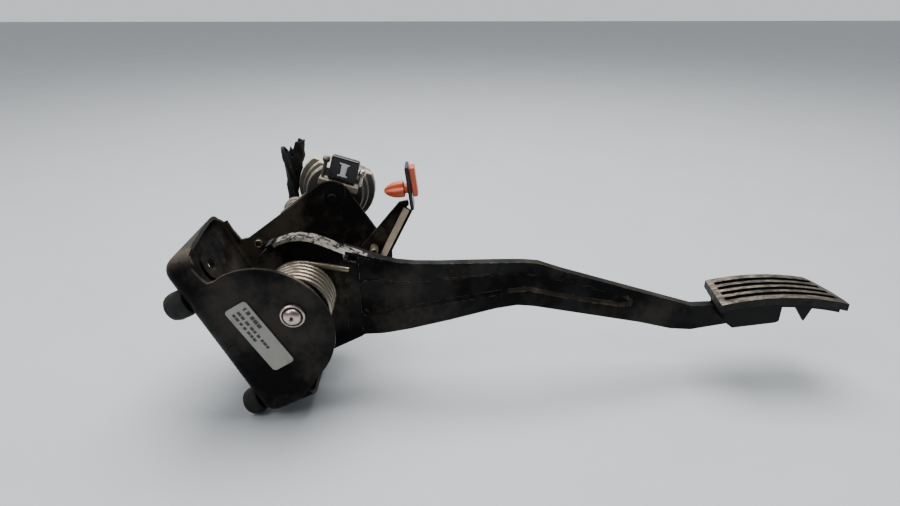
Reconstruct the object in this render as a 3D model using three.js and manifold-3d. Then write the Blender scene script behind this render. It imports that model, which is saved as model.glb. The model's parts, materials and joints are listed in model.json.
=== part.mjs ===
// Hanging accelerator pedal module: a pressed bulkhead bracket carries a sprung pedal arm on a
// pivot pin, and a crank and link behind the bracket turn a rotary position sensor.
// Millimetres. X points to the pedal pad, Y runs along the pivot from the near wall to the far
// wall, and Z is up when the module lies on its bracket. The origin is on the bulkhead face.
import * as THREE from 'three';
import { RoundedBoxGeometry } from 'three/addons/geometries/RoundedBoxGeometry.js';
import { mergeVertices } from 'three/addons/utils/BufferGeometryUtils.js';
import Module from 'manifold-3d';

const wasm = await Module();
wasm.setup();

// ---- driving dimensions ----
const GAP = 0.3; // clearance between touching pieces
const DEG = Math.PI / 180;

const BRACKET_TILT = 25.1 * DEG; // the bulkhead leans back from vertical
const BASE_X = -46.5; // base plate's outer face, from the pivot axis
const BASE_LOW = -50;
const BASE_HIGH = 50.5;
const BRACKET_DEPTH = 76; // over both walls
const SHEET = 2;
const BEND_RADIUS = 8;
const FAR_INNER = BRACKET_DEPTH - SHEET;

const PIN_RADIUS = 5;
const PIN_END = 88;
const HUB_RADIUS = 10;
const HUB_NEAR = 3.5;
const HUB_FAR = 84;
const HUB_WEB_RADIUS = 29;
const WEB_NEAR = 31; // near face of the pedal arm's web at the hub
const WEB_FAR = 33;

const CRANK_RADIUS = 15; // pivot to crank pin, and sensor axis to lever pin
const CRANK_DROP = 33 * DEG; // crank and lever, below the sensor frame's -X
const CRANK_NEAR = 79;
const CRANK_FAR = 81;
const LINK_FAR = 83.6;
const SENSOR_DISTANCE = 37.2; // pivot axis to sensor axis
const SENSOR_TILT = 17.2 * DEG; // from vertical towards the pad
const SENSOR_FRONT = 84.5;
const SENSOR_RADIUS = 23.5;

const SPRING_RADIUS = 16.8; // to the wire's centre
const WIRE_RADIUS = 1.6;

const BLADE_START = 25; // where the arm folds sideways
const BLADE_SLOPE = 0.055; // sideways per millimetre of length
const BLADE_FLANGE = 3.3; // depth of the arm's edges behind its web
const PAD_NEAR = 27;
const PAD_FAR = 57;

// ---- helpers ----
function toSolid(geometry) {
  geometry.deleteAttribute('normal');
  geometry.deleteAttribute('uv');
  const merged = mergeVertices(geometry, 1e-4);
  return new wasm.Manifold(new wasm.Mesh({
    numProp: 3,
    vertProperties: new Float32Array(merged.attributes.position.array),
    triVerts: new Uint32Array(merged.index.array),
  }));
}

function toGeometry(solid) {
  const mesh = solid.getMesh();
  const geometry = new THREE.BufferGeometry();
  geometry.setAttribute('position', new THREE.BufferAttribute(mesh.vertProperties, 3));
  geometry.setIndex(new THREE.BufferAttribute(mesh.triVerts, 1));
  geometry.computeVertexNormals();
  return geometry;
}

function join(first, ...others) {
  return others.reduce((sum, other) => sum.add(toSolid(other)), toSolid(first));
}

function cut(solid, ...tools) {
  return tools.reduce((rest, tool) => rest.subtract(toSolid(tool)), solid);
}

// a flat plate in the XZ plane, from near to far along Y
function plate(outline, near, far, bevel = 0) {
  const shape = outline instanceof THREE.Shape ? outline : shapeOf(outline);
  const geometry = new THREE.ExtrudeGeometry(shape, {
    depth: far - near - 2 * bevel,
    bevelEnabled: bevel > 0,
    bevelThickness: bevel,
    bevelSize: bevel,
    bevelOffset: -bevel,
    bevelSegments: 1,
    curveSegments: 4,
  });
  return geometry.rotateX(Math.PI / 2).translate(0, far - bevel, 0);
}

// an upright prism: its outline lies in the XY plane
function prism(outline, low, high) {
  return new THREE.ExtrudeGeometry(shapeOf(outline), { depth: high - low, bevelEnabled: false })
    .translate(0, 0, low);
}

function shapeOf(points) {
  return new THREE.Shape(points.map(([x, z]) => new THREE.Vector2(x, z)));
}

function box(x0, x1, y0, y1, z0, z1) {
  return new THREE.BoxGeometry(x1 - x0, y1 - y0, z1 - z0)
    .translate((x0 + x1) / 2, (y0 + y1) / 2, (z0 + z1) / 2);
}

function roundedBox(x0, x1, y0, y1, z0, z1, radius, segments = 1) {
  return new RoundedBoxGeometry(x1 - x0, y1 - y0, z1 - z0, segments, radius)
    .translate((x0 + x1) / 2, (y0 + y1) / 2, (z0 + z1) / 2);
}

// a turned piece on an axis along Y: profile holds [radius, y] pairs
function turned(profile, segments = 24) {
  const points = profile.map(([radius, y]) => new THREE.Vector2(radius, y));
  return new THREE.LatheGeometry(points, segments);
}

function rod(radius, near, far, segments = 24) {
  return turned([[0, near], [radius, near], [radius, far], [0, far]], segments);
}

function tube(outer, inner, near, far, segments = 24) {
  return turned([[inner, near], [outer, near], [outer, far], [inner, far], [inner, near]], segments);
}

// turns a piece that was made along Y so that it runs along X
function alongX(geometry) {
  return geometry.rotateZ(-Math.PI / 2);
}

function alongZ(geometry) {
  return geometry.rotateX(Math.PI / 2);
}

function arcPoints(cx, cz, radius, from, to, steps) {
  const points = [];
  for (let i = 0; i <= steps; i += 1) {
    const angle = (from + ((to - from) * i) / steps) * DEG;
    points.push([cx + radius * Math.cos(angle), cz + radius * Math.sin(angle)]);
  }
  return points;
}

// point where a line from p touches a circle; side picks which of the two
function tangentPoint(p, centre, radius, side) {
  const dx = p[0] - centre[0];
  const dz = p[1] - centre[1];
  const angle = Math.atan2(dz, dx) + side * Math.acos(radius / Math.hypot(dx, dz));
  return angle / DEG;
}

// pivot-frame point to bracket-frame point
function toBracket([x, z]) {
  const c = Math.cos(BRACKET_TILT);
  const s = Math.sin(BRACKET_TILT);
  return [x * c + z * s, z * c - x * s];
}

const module = new THREE.Group();
const pivotFrame = new THREE.Group(); // origin on the pivot axis, at the near wall's outer face
const bracketFrame = new THREE.Group(); // X away from the bulkhead, Z up along it
const sensorFrame = new THREE.Group(); // Z from the pivot axis towards the sensor axis
bracketFrame.rotation.y = -BRACKET_TILT;
sensorFrame.rotation.y = SENSOR_TILT;
pivotFrame.add(bracketFrame, sensorFrame);
pivotFrame.position.set(
  -BASE_X * Math.cos(BRACKET_TILT),
  -BRACKET_DEPTH / 2,
  -BASE_X * Math.sin(BRACKET_TILT),
);
module.add(pivotFrame);

const FINISH = {
  black_steel: { color: 0x17181a, roughness: 0.45, metalness: 0.6 },
  arm_steel: { color: 0x1b1c1e, roughness: 0.4, metalness: 0.6 },
  zinc: { color: 0xb9aa9a, roughness: 0.4, metalness: 0.9 },
  spring_steel: { color: 0x8f8776, roughness: 0.35, metalness: 0.9 },
  rubber: { color: 0x1d1c1b, roughness: 0.85, metalness: 0 },
  dusty_plastic: { color: 0x9c8f78, roughness: 0.8, metalness: 0 },
  dark_plastic: { color: 0x26231f, roughness: 0.6, metalness: 0 },
  nylon: { color: 0xd8d4c6, roughness: 0.5, metalness: 0 },
  orange: { color: 0xe0532f, roughness: 0.45, metalness: 0 },
  label: { color: 0x8f8e86, roughness: 0.5, metalness: 0.3 },
  board: { color: 0x39523a, roughness: 0.6, metalness: 0 },
};

function addPiece(frame, name, shape, finish) {
  const geometry = shape instanceof THREE.BufferGeometry ? shape : toGeometry(shape);
  const mesh = new THREE.Mesh(geometry, new THREE.MeshStandardMaterial(FINISH[finish]));
  mesh.name = name;
  frame.add(mesh);
}

// ---- mounting bracket: a drawn pan, trimmed to each wall's outline ----
const SENSOR_AXIS = [
  SENSOR_DISTANCE * Math.sin(SENSOR_TILT),
  SENSOR_DISTANCE * Math.cos(SENSOR_TILT),
];
const RIVET_LEFT = [-35.2, 7.9];
const RIVET_RIGHT = [34.6, 4.4];
const BUFFER_Y = 9;
const BUFFER_HEIGHTS = [-41, 26.5];
const BUFFER_LENGTHS = [10, 13];
const BOLT = { y: 40, z: 31, hole: 3.3, boss: 8.5, height: 1.5 };
const BUFFER_SEAT = { radius: 8.3, depth: 0.5 }; // pressed into the base's outer face
const WALL_HOLE = 12.3;
const SHAFT_HOLE = 3.6;
const RIVET_HOLE = 2.9;

const HOOD_CORNER = -42; // the hood's far top corner, from the pivot axis

function nearOutline() {
  const centre = [-19.5, -3];
  const radius = 36.5;
  return [
    [-60, -60], [-26, -60], [-24, -47.5],
    ...arcPoints(...centre, radius, -68, 90, 20),
    [-25.3, 32.6], [-28.6, 33], [-29.8, 36.3], [-30.5, 40.4], [-31, 44], [-29.5, 48], [-27, 53],
    [-60, 60],
  ];
}

function farOutline() {
  const lobe = toBracket(SENSOR_AXIS);
  const lobeRadius = 10.8;
  const leftFoot = [-33, 27.4];
  const rightFoot = [41.6, -17.2];
  const leftTouch = tangentPoint(leftFoot, lobe, lobeRadius, -1);
  const rightTouch = tangentPoint(rightFoot, lobe, lobeRadius, 1);
  return [
    [-60, -60], [-17, -60], [-17, -42], [5, -42], [37, -27], rightFoot,
    ...arcPoints(...lobe, lobeRadius, rightTouch, leftTouch + 360, 14),
    leftFoot, [-37.5, 28.5], [-38.3, 35], [-40.4, 42], [HOOD_CORNER, 46], [HOOD_CORNER, 60],
    [-60, 60],
  ];
}

function bracketSolid() {
  const outer = roundedBox(BASE_X, 90, 0, BRACKET_DEPTH, BASE_LOW, BASE_HIGH, BEND_RADIUS, 3);
  const inner = roundedBox(BASE_X + SHEET, 94, SHEET, FAR_INNER,
    BASE_LOW + SHEET, BASE_HIGH - SHEET, BEND_RADIUS - SHEET, 3);
  const shell = cut(toSolid(outer), inner);
  const bendEnd = BASE_X + BEND_RADIUS;
  const bendStart = BASE_HIGH - BEND_RADIUS;
  const taper = [[-60, -5], [-28.5, -5], [-28.5, 0], [HOOD_CORNER, 68], [HOOD_CORNER, BRACKET_DEPTH],
    [-60, BRACKET_DEPTH]];
  const keep = join(
    plate(nearOutline(), -1, BEND_RADIUS + 0.5),
    plate(farOutline(), BRACKET_DEPTH - BEND_RADIUS - 0.5, BRACKET_DEPTH + 1),
    box(-60, bendEnd, -1, BRACKET_DEPTH + 1, -60, bendStart),
    box(-60, HOOD_CORNER, -1, BRACKET_DEPTH + 1, 0, 60),
    prism(taper, bendStart + 2, BASE_HIGH + 10),
    box(-60, -17, SHEET, BRACKET_DEPTH + 1, -60, BASE_LOW + BEND_RADIUS),
  );
  const trimmed = shell.intersect(keep);
  const boss = alongX(rod(BOLT.boss, 0, SHEET + BOLT.height)).translate(BASE_X, BOLT.y, BOLT.z);
  const holes = [alongX(rod(BOLT.hole, -5, 10)).translate(BASE_X, BOLT.y, BOLT.z)];
  for (const height of BUFFER_HEIGHTS) {
    holes.push(alongX(rod(3.3, -5, 5, 16)).translate(BASE_X, BUFFER_Y, height));
    holes.push(alongX(rod(5.2, SHEET, 9, 20)).translate(BASE_X, BUFFER_Y, height));
    holes.push(alongX(rod(BUFFER_SEAT.radius, -1, BUFFER_SEAT.depth)).translate(BASE_X, BUFFER_Y, height));
  }
  holes.push(rod(PIN_RADIUS + GAP, -1, SHEET + 1));
  holes.push(rod(WALL_HOLE, FAR_INNER - 1, BRACKET_DEPTH + 1));
  const farHoles = [[SENSOR_AXIS, SHAFT_HOLE], [RIVET_LEFT, RIVET_HOLE], [RIVET_RIGHT, RIVET_HOLE]];
  for (const [point, radius] of farHoles) {
    const [x, z] = toBracket(point);
    holes.push(rod(radius, FAR_INNER - 1, BRACKET_DEPTH + 1, 20).translate(x, 0, z));
  }
  return cut(trimmed.add(toSolid(boss)), ...holes);
}

addPiece(bracketFrame, 'mounting_bracket', bracketSolid(), 'black_steel');

// ---- blank label, riveted-on buffers and the stop bracket ----
function labelShape() {
  const half = { x: 6.5, z: 20.5, r: 2 };
  const shape = new THREE.Shape();
  shape.moveTo(-half.x + half.r, -half.z);
  shape.lineTo(half.x - half.r, -half.z);
  shape.absarc(half.x - half.r, -half.z + half.r, half.r, -Math.PI / 2, 0);
  shape.absarc(half.x - half.r, half.z - half.r, half.r, 0, Math.PI / 2);
  shape.absarc(-half.x + half.r, half.z - half.r, half.r, Math.PI / 2, Math.PI);
  shape.absarc(-half.x + half.r, -half.z + half.r, half.r, Math.PI, Math.PI * 1.5);
  return shape;
}

addPiece(bracketFrame, 'label_plate',
  plate(labelShape(), -0.9, -GAP).rotateY(-5.5 * DEG).translate(-21.2, 0, -3.4), 'label');

// rubber knob with a neck through the base and a retaining lip inside
function bufferProfile(length) {
  const seat = BUFFER_SEAT.depth - GAP;
  return [
    [0, -length], [4.5, 0.4 - length], [6.6, 2 - length], [7.5, 5 - length], [7.5, -2], [6.8, seat],
    [3, seat], [3, SHEET + GAP], [4.6, SHEET + GAP], [4, SHEET + 2.5], [0, SHEET + 2.5],
  ];
}

['lower', 'upper'].forEach((place, i) => {
  const profile = bufferProfile(BUFFER_LENGTHS[i]);
  const knob = alongX(turned(profile, 16)).translate(BASE_X, BUFFER_Y, BUFFER_HEIGHTS[i]);
  addPiece(bracketFrame, `buffer_${place}`, knob, 'rubber');
});

const STOP = { inner: BASE_X + SHEET + GAP, reach: -29, near: 26, far: 38, low: -14, high: 20.6 };
const STOP_SHEET = 1.5;

function stopBracketShape() {
  const { inner, reach, low, high } = STOP;
  return plate([
    [inner, low], [reach, low], [reach, low + STOP_SHEET], [inner + STOP_SHEET, low + STOP_SHEET],
    [inner + STOP_SHEET, high - STOP_SHEET], [reach, high - STOP_SHEET], [reach, high], [inner, high],
  ], STOP.near, STOP.far);
}

const TAIL = { low: -2.5, high: 6, tip: -40.5 };
const BUMPER = { x: -36, y: 32, radius: 4.5 };

addPiece(bracketFrame, 'stop_bracket', stopBracketShape(), 'black_steel');
addPiece(bracketFrame, 'idle_stop_bumper', alongZ(turned([
  [0, STOP.low + STOP_SHEET + GAP], [BUMPER.radius, STOP.low + STOP_SHEET + GAP],
  [BUMPER.radius, TAIL.low - 2], [3.4, TAIL.low - GAP], [0, TAIL.low - GAP],
], 20)).translate(BUMPER.x, BUMPER.y, 0), 'rubber');
addPiece(bracketFrame, 'full_stop_bumper', alongZ(turned([
  [0, 13.2], [3.4, 13.2], [BUMPER.radius, 15],
  [BUMPER.radius, STOP.high - STOP_SHEET - GAP], [0, STOP.high - STOP_SHEET - GAP],
], 20)).translate(BUMPER.x, BUMPER.y, 0), 'rubber');

// ---- pivot pin and what sits on it ----
addPiece(pivotFrame, 'pivot_pin', turned([
  [0, -4.2], [2.2, -4], [4.3, -3], [4.8, -1.8], [6, -1.6], [6, -GAP], [PIN_RADIUS, -GAP],
  [PIN_RADIUS, PIN_END - 2.6], [4.3, PIN_END - 2.6], [4.3, PIN_END - 1.2],
  [PIN_RADIUS - 0.4, PIN_END - 1.2], [4, PIN_END], [0, PIN_END],
]), 'zinc');
addPiece(pivotFrame, 'pin_washer', tube(9.5, PIN_RADIUS + GAP, HUB_FAR + GAP, HUB_FAR + 1.1), 'zinc');

function circlipSolid() {
  const near = PIN_END - 2.4;
  const ring = toSolid(tube(8, 4.6, near, near + 1, 28));
  return cut(ring, box(-2, 2, near - 1, near + 2, -12, 0));
}

addPiece(pivotFrame, 'pin_circlip', circlipSolid(), 'zinc');
addPiece(pivotFrame, 'wall_bush', turned([
  [HUB_RADIUS + GAP, FAR_INNER - 2], [WALL_HOLE - GAP, FAR_INNER - 2],
  [WALL_HOLE - GAP, BRACKET_DEPTH + GAP], [14.5, BRACKET_DEPTH + GAP],
  [14.5, BRACKET_DEPTH + 1.8], [HUB_RADIUS + GAP, BRACKET_DEPTH + 1.8],
  [HUB_RADIUS + GAP, FAR_INNER - 2],
]), 'nylon');
addPiece(pivotFrame, 'hub_tube', tube(HUB_RADIUS, 8, HUB_NEAR, HUB_FAR), 'zinc');

const BUSH = { inner: PIN_RADIUS + 0.1, outer: 7.7, length: 18 };
addPiece(pivotFrame, 'hub_bush_near',
  tube(BUSH.outer, BUSH.inner, HUB_NEAR + 1, HUB_NEAR + 1 + BUSH.length), 'nylon');
addPiece(pivotFrame, 'hub_bush_far',
  tube(BUSH.outer, BUSH.inner, HUB_FAR - 1 - BUSH.length, HUB_FAR - 1), 'nylon');

// ---- torsion springs on plastic sleeves ----
const NEAR_SPRING = { start: 6.5, end: 25.5, coils: 5 };
const FAR_SPRING = { start: 37.5, end: 52, coils: 3 };
const ARM_LEG = 23; // bears on the underside of the arm's top edge
const WALL_LEG = 41; // reaches the base plate's inner face
const SLEEVE = { inner: HUB_RADIUS + GAP, outer: 13.5 };

// a coil round Y with a straight leg leaving it at each end
class SpringWire extends THREE.Curve {
  constructor(start, end, firstAngle, lastAngle, firstLeg, lastLeg) {
    super();
    Object.assign(this, { start, end, firstAngle, lastAngle, firstLeg, lastLeg });
    const sweep = Math.abs(lastAngle - firstAngle) * SPRING_RADIUS;
    this.total = sweep + firstLeg + lastLeg;
    this.sweep = sweep;
  }

  getPoint(t, target = new THREE.Vector3()) {
    const along = t * this.total - this.firstLeg;
    const inCoil = Math.min(Math.max(along, 0), this.sweep);
    const past = along - inCoil;
    const share = inCoil / this.sweep;
    const angle = this.firstAngle + (this.lastAngle - this.firstAngle) * share;
    const turn = Math.sign(this.lastAngle - this.firstAngle);
    return target.set(
      SPRING_RADIUS * Math.cos(angle) - past * turn * Math.sin(angle),
      this.start + (this.end - this.start) * share,
      SPRING_RADIUS * Math.sin(angle) + past * turn * Math.cos(angle),
    );
  }
}

function wireGeometry(curve, steps) {
  const section = new THREE.Shape();
  section.absarc(0, 0, WIRE_RADIUS, 0, Math.PI * 2);
  return new THREE.ExtrudeGeometry(section, {
    steps, extrudePath: curve, curveSegments: 3, bevelEnabled: false,
  });
}

const SPRINGS = { near: NEAR_SPRING, far: FAR_SPRING };
for (const [place, spring] of Object.entries(SPRINGS)) {
  const armAngle = 80 * DEG;
  const wallAngle = armAngle + 2 * Math.PI * spring.coils + 40 * DEG;
  const [wallEnd, armEnd] = place === 'near' ? [spring.start, spring.end] : [spring.end, spring.start];
  const curve = new SpringWire(wallEnd, armEnd, wallAngle, armAngle, WALL_LEG, ARM_LEG);
  addPiece(pivotFrame, `return_spring_${place}`, wireGeometry(curve, 20 * spring.coils + 8), 'spring_steel');
  addPiece(pivotFrame, `spring_sleeve_${place}`,
    tube(SLEEVE.outer, SLEEVE.inner, spring.start - 2.2, spring.end + 2.2), 'dark_plastic');
}

// ---- pedal arm: hub web with a rim, and an embossed blade folded towards the far side ----
const BLADE_TOP = [[28, 21.3], [35, 18.4], [42, 15.6], [50, 13.2], [60, 11.8], [73, 11.2],
  [104, 10.8], [120, 10.3], [129, 9.3], [142, 4.4], [223, -22], [250, -22]];
const BLADE_BOTTOM = [[250, -34.4], [224, -38], [211, -36.6], [192, -31.4], [128, -17.6],
  [118, -16.4], [106, -18], [79, -24.4], [56, -29.2], [42, -31.2], [31, -31.3], [12, -41]];

// the pressed panel along the blade, and how deep it is pressed
const EMBOSS = [[27, -7], [28.5, 0.5], [33, 4.6], [42, 2.8], [50, 1.2], [73, 2.3], [97, 3.6],
  [122, 4], [130, 2.6], [154, -4.4], [182.5, -13.4], [186, -16.2], [185.4, -20], [179.5, -20.6],
  [163.6, -17.4], [146.5, -13.4], [131, -9.6], [124.6, -7.6], [112.6, -8.6], [86, -12.4],
  [65, -16], [43.5, -19.2], [33, -20], [28.5, -16]];
const EMBOSS_DEPTH = 2;

function insetOutline(points, inset) {
  const turn = THREE.ShapeUtils.area(shapeOf(points).getPoints()) > 0 ? 1 : -1;
  return points.map((p, i) => {
    const before = points[(i + points.length - 1) % points.length];
    const after = points[(i + 1) % points.length];
    const normals = [[before, p], [p, after]].map(([a, b]) => {
      const length = Math.hypot(b[0] - a[0], b[1] - a[1]);
      return [-(b[1] - a[1]) / length * turn, (b[0] - a[0]) / length * turn];
    });
    const sum = [normals[0][0] + normals[1][0], normals[0][1] + normals[1][1]];
    const scale = inset * 2 / (sum[0] ** 2 + sum[1] ** 2);
    return [p[0] + sum[0] * scale, p[1] + sum[1] * scale];
  });
}

// folds the blade sideways about the line x = BLADE_START
function folded(geometry) {
  const shear = new THREE.Matrix4().set(
    1, 0, 0, 0,
    BLADE_SLOPE, 1, 0, -BLADE_SLOPE * BLADE_START,
    0, 0, 1, 0,
    0, 0, 0, 1,
  );
  return geometry.applyMatrix4(shear);
}

function bladeSolid() {
  const outline = [[22, -36], [22, 23.6], ...BLADE_TOP, ...BLADE_BOTTOM.slice(0, -1)];
  const channel = toSolid(folded(plate(outline, WEB_NEAR, WEB_FAR + BLADE_FLANGE)));
  const hollow = insetOutline(outline, SHEET);
  hollow[0][0] = 15;
  hollow[1][0] = 15;
  const cleared = cut(channel, folded(plate(hollow, WEB_FAR, WEB_FAR + BLADE_FLANGE + 2)));
  const recess = folded(plate(EMBOSS, WEB_NEAR - 2 * EMBOSS_DEPTH, WEB_NEAR + EMBOSS_DEPTH,
    EMBOSS_DEPTH));
  const backing = folded(plate(insetOutline(EMBOSS, -0.4), WEB_NEAR + 1, WEB_FAR + EMBOSS_DEPTH));
  return cleared.add(toSolid(backing)).subtract(toSolid(recess));
}

// the hub's top edge, from its free end to where it runs into the blade
const RIM_TOP = [[-13.6, 27.2], [-11.4, 28.6], [-8.4, 29.8], [-4, 31], [1, 31.4], [6, 30.8],
  [11.4, 29], [17, 26.5], [23, 23.6], [30, 20.8], [35, 18.7], [40, 16.7], [45, 15]];
const RIM_NEAR = WEB_NEAR - 5.5;
const RIM_FADE = [[24, RIM_NEAR - 1], [24, RIM_NEAR], [46, WEB_NEAR + 1], [60, RIM_NEAR - 1]];

function rimOutline() {
  const under = RIM_TOP.map(([x, z]) => {
    const share = 1 - SHEET / Math.hypot(x, z);
    return [x * share, z * share];
  });
  return [...RIM_TOP, ...under.reverse()];
}

function lugOutline() {
  return [...arcPoints(0, 0, 31.4, 116, 122, 3), ...arcPoints(0, 0, 27, 122, 116, 3)];
}

function armSolid() {
  const web = join(
    rod(HUB_WEB_RADIUS, WEB_NEAR, WEB_FAR, 48),
    plate([[0, -29], [12, -41], [30, -32], ...RIM_TOP.slice(0, -3).reverse()], WEB_NEAR, WEB_FAR),
    plate(lugOutline(), RIM_NEAR - 1, WEB_FAR),
    plate([[22, 15.6], [29.5, 14.6], [29.5, 16.6], [23, 18.3]], RIM_NEAR, WEB_FAR),
    plate([[TAIL.tip, TAIL.low], [-20, TAIL.low], [-20, TAIL.high], [TAIL.tip, TAIL.high]],
      WEB_NEAR - 2, WEB_FAR + 2).rotateY(-BRACKET_TILT),
    tube(15, HUB_RADIUS + GAP, WEB_NEAR - 2, WEB_FAR + 2, 36),
  );
  const rim = cut(toSolid(plate(rimOutline(), RIM_NEAR, WEB_FAR)), prism(RIM_FADE, 0, 40));
  const wholeArm = web.add(rim).add(bladeSolid());
  return cut(wholeArm, rod(HUB_RADIUS + GAP, WEB_NEAR - 5, WEB_FAR + 5));
}

addPiece(pivotFrame, 'pedal_arm', armSolid(), 'arm_steel');

// ---- pedal pad and the carrier under it ----
const PAD = { left: 232, right: 305, crown: 268, top: -9, radius: 148, thickness: 4.5 };
const RIBS = 5;
const GROOVE = 3.3;

// seen from above: the near edge is square, the far right corner is cut back
function padPlan(inset) {
  return prism([
    [PAD.left + inset, PAD_NEAR + inset], [PAD.right - inset, PAD_NEAR + inset],
    [PAD.right - inset, PAD_NEAR + 5], [303 - inset, PAD_NEAR + 14], [298 - inset, PAD_FAR - 4],
    [295 - inset, PAD_FAR - inset], [PAD.left + 3 + inset, PAD_FAR - inset],
  ], -60, 10);
}

function padHeight(x, drop) {
  const offset = x - PAD.crown;
  return PAD.top - drop - (PAD.radius - Math.sqrt(PAD.radius ** 2 - offset ** 2));
}

function padBand(left, right, high, low) {
  const points = [];
  const steps = 12;
  for (let i = 0; i <= steps; i += 1) {
    const x = left + ((right - left) * i) / steps;
    points.push([x, padHeight(x, low)]);
  }
  for (let i = steps; i >= 0; i -= 1) {
    const x = left + ((right - left) * i) / steps;
    points.push([x, padHeight(x, high)]);
  }
  return points;
}

function padSolid() {
  const width = PAD_FAR - PAD_NEAR;
  const body = toSolid(plate(padBand(PAD.left, PAD.right, 0, PAD.thickness), PAD_NEAR, PAD_FAR));
  const pitch = width / RIBS;
  const grooves = [];
  for (let i = 1; i < RIBS; i += 1) {
    const middle = PAD_NEAR + i * pitch;
    const start = PAD.left + 3.5 + 0.1 * (middle - PAD_NEAR);
    const end = PAD.right - 3 - 0.25 * (middle - PAD_NEAR);
    grooves.push(plate(padBand(start, end, -2, 2), middle - GROOVE / 2, middle + GROOVE / 2));
  }
  return cut(body.intersect(toSolid(padPlan(0))), ...grooves);
}

addPiece(pivotFrame, 'pedal_pad', padSolid(), 'rubber');

function carrierSolid() {
  const under = PAD.thickness + GAP;
  const tray = plate(padBand(PAD.left + 2, PAD.right - 3, under, under + 2.5),
    PAD_NEAR + 2, PAD_FAR - 2);
  const socket = plate([[236, -18], [268.8, -16], [268.8, -26], [266.6, -27], [242.3, -30], [237, -26]],
    PAD_NEAR + 3, PAD_FAR - 8);
  const fin = plate([[275.5, -16], [286, -16], [282.4, -25.6]], PAD_NEAR + 2, PAD_NEAR + 4);
  const tongue = folded(plate(insetOutline([[200, -40], [253, -37], [253, -21], [200, -20]], -GAP),
    WEB_NEAR - GAP, WEB_FAR + BLADE_FLANGE + GAP));
  return cut(join(tray, socket, fin).intersect(toSolid(padPlan(1.5))), tongue);
}

addPiece(pivotFrame, 'pad_carrier', carrierSolid(), 'dark_plastic');

// ---- crank on the hub and parallel lever on the sensor ----
const CRANK_TIP = [-CRANK_RADIUS * Math.cos(CRANK_DROP), -CRANK_RADIUS * Math.sin(CRANK_DROP)];
const EYE_RADIUS = 4.5;

function leverSolid(boreRadius, bossRadius, centreZ) {
  const [x, z] = CRANK_TIP;
  const side = [-Math.sin(CRANK_DROP) * EYE_RADIUS, Math.cos(CRANK_DROP) * EYE_RADIUS];
  const arm = plate([side, [x + side[0], z + side[1]], [x - side[0], z - side[1]],
    [-side[0], -side[1]]], CRANK_NEAR, CRANK_FAR);
  const eye = rod(EYE_RADIUS, CRANK_NEAR, CRANK_FAR, 20).translate(x, 0, z);
  const boss = rod(bossRadius, CRANK_NEAR, CRANK_FAR);
  const bore = rod(boreRadius, CRANK_NEAR - 1, CRANK_FAR + 1);
  const pinHole = rod(2 + GAP, CRANK_NEAR - 1, CRANK_FAR + 1, 16).translate(x, 0, z);
  return toGeometry(cut(join(boss, arm, eye), bore, pinHole)).translate(0, 0, centreZ);
}

function leverPin(centreZ) {
  return turned([
    [0, CRANK_NEAR - 1.2], [3, CRANK_NEAR - 1.2], [3, CRANK_NEAR - GAP], [2, CRANK_NEAR - GAP],
    [2, LINK_FAR + GAP], [0, LINK_FAR + GAP],
  ], 16).translate(CRANK_TIP[0], 0, CRANK_TIP[1] + centreZ);
}

addPiece(sensorFrame, 'sensor_crank', leverSolid(HUB_RADIUS + GAP, 12.8, 0), 'zinc');
addPiece(sensorFrame, 'crank_pin', leverPin(0), 'zinc');
addPiece(sensorFrame, 'sensor_lever', leverSolid(3.2 + GAP, 5.4, SENSOR_DISTANCE), 'zinc');
addPiece(sensorFrame, 'lever_pin', leverPin(SENSOR_DISTANCE), 'zinc');

function linkSolid() {
  const near = CRANK_FAR + GAP;
  const bar = box(-2, 2, near, LINK_FAR, 0, SENSOR_DISTANCE);
  const eyes = [0, SENSOR_DISTANCE].map((z) => rod(4.3, near, LINK_FAR, 20).translate(0, 0, z));
  const bores = [0, SENSOR_DISTANCE].map((z) => rod(2 + 0.1, near - 1, LINK_FAR + 1, 16)
    .translate(0, 0, z));
  return toGeometry(cut(join(bar, ...eyes), ...bores)).translate(CRANK_TIP[0], 0, CRANK_TIP[1]);
}

addPiece(sensorFrame, 'drive_link', linkSolid(), 'dark_plastic');

// ---- rotary sensor ----
const LEDGE = { left: -10.5, right: 13, low: 43, high: 46.8, near: BRACKET_DEPTH + GAP };
const HOUSING_BACK = SENSOR_FRONT + 20;

const FLAT_TOP = 14.5; // the drum is cut flat above its axis, under the connector

// cuts a turned body flat at a height above its axis, then moves it to the sensor axis
function flatTopped(profile, height) {
  return cut(toSolid(turned(profile, 32)), box(-30, 30, 70, 120, height, 30))
    .translate([0, 0, SENSOR_DISTANCE]);
}

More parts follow.
